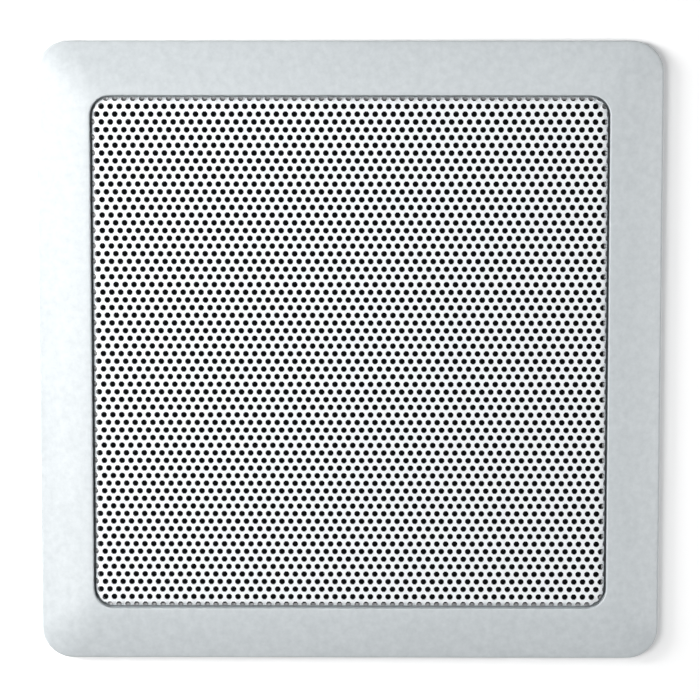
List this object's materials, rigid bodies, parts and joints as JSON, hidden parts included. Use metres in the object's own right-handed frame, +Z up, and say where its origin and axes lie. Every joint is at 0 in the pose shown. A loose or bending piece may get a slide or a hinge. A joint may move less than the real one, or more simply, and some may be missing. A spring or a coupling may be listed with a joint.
{
  "type": "panel speaker",
  "caption": "Square flush-mount panel speaker: crowned moulded bezel, perforated folded grille, and a full-range driver with a sprung cone behind it.",
  "frame": {"origin": "centre of the four panel screw holes on the plane of the panel's surface, which is the frame's rear face", "axes": "+Z up as mounted; the front faces -Y, and +X is to the right as seen from the front"},
  "size_m": [0.21, 0.0713, 0.21],
  "materials": {
    "frame_plastic": "pale grey moulded plastic, finely mottled satin",
    "foam": "black closed-cell foam",
    "grille_paint": "white powder coat on perforated steel",
    "scrim": "thin black open cloth",
    "basket_paint": "black paint on pressed steel",
    "black_steel": "black zinc",
    "surround_rubber": "soft black rubber",
    "cone_paper": "black pressed pulp",
    "light_paper": "pale pressed pulp",
    "former_paper": "brown kraft paper",
    "copper": "lacquered copper wire",
    "spider_cloth": "stiffened woven cotton",
    "plated_steel": "zinc-plated steel",
    "ferrite": "sintered ferrite",
    "board": "brown paper laminate",
    "tab_brass": "tinned brass"
  },
  "bodies": {
    "frame": {"bezel_frame": "frame_plastic", "panel_gasket": "foam", "grille": "grille_paint", "scrim_cloth": "scrim", "driver_gasket": "foam", "driver_basket": "basket_paint", "driver_screws": "black_steel", "trim_ring": "foam", "surround": "surround_rubber", "spider": "spider_cloth", "top_plate": "plated_steel", "magnet": "ferrite", "pole_yoke": "plated_steel", "motor_rivets": "plated_steel", "terminal_board": "board", "terminal_positive": "tab_brass", "terminal_negative": "tab_brass", "terminal_rivets": "plated_steel", "tinsel_leads": "copper"},
    "moving_cone": {"cone": "cone_paper", "whizzer_cone": "light_paper", "dust_cap": "light_paper", "voice_coil_former": "former_paper", "voice_coil": "copper"}
  },
  "joints": [
    {"name": "cone_travel", "type": "slide", "parent": "frame", "child": "moving_cone", "axis": [0, -1, 0], "range_m": [-0.003, 0.003], "stiffness_N_per_m": 1250, "deforming": ["surround", "spider", "tinsel_leads"]}
  ]
}
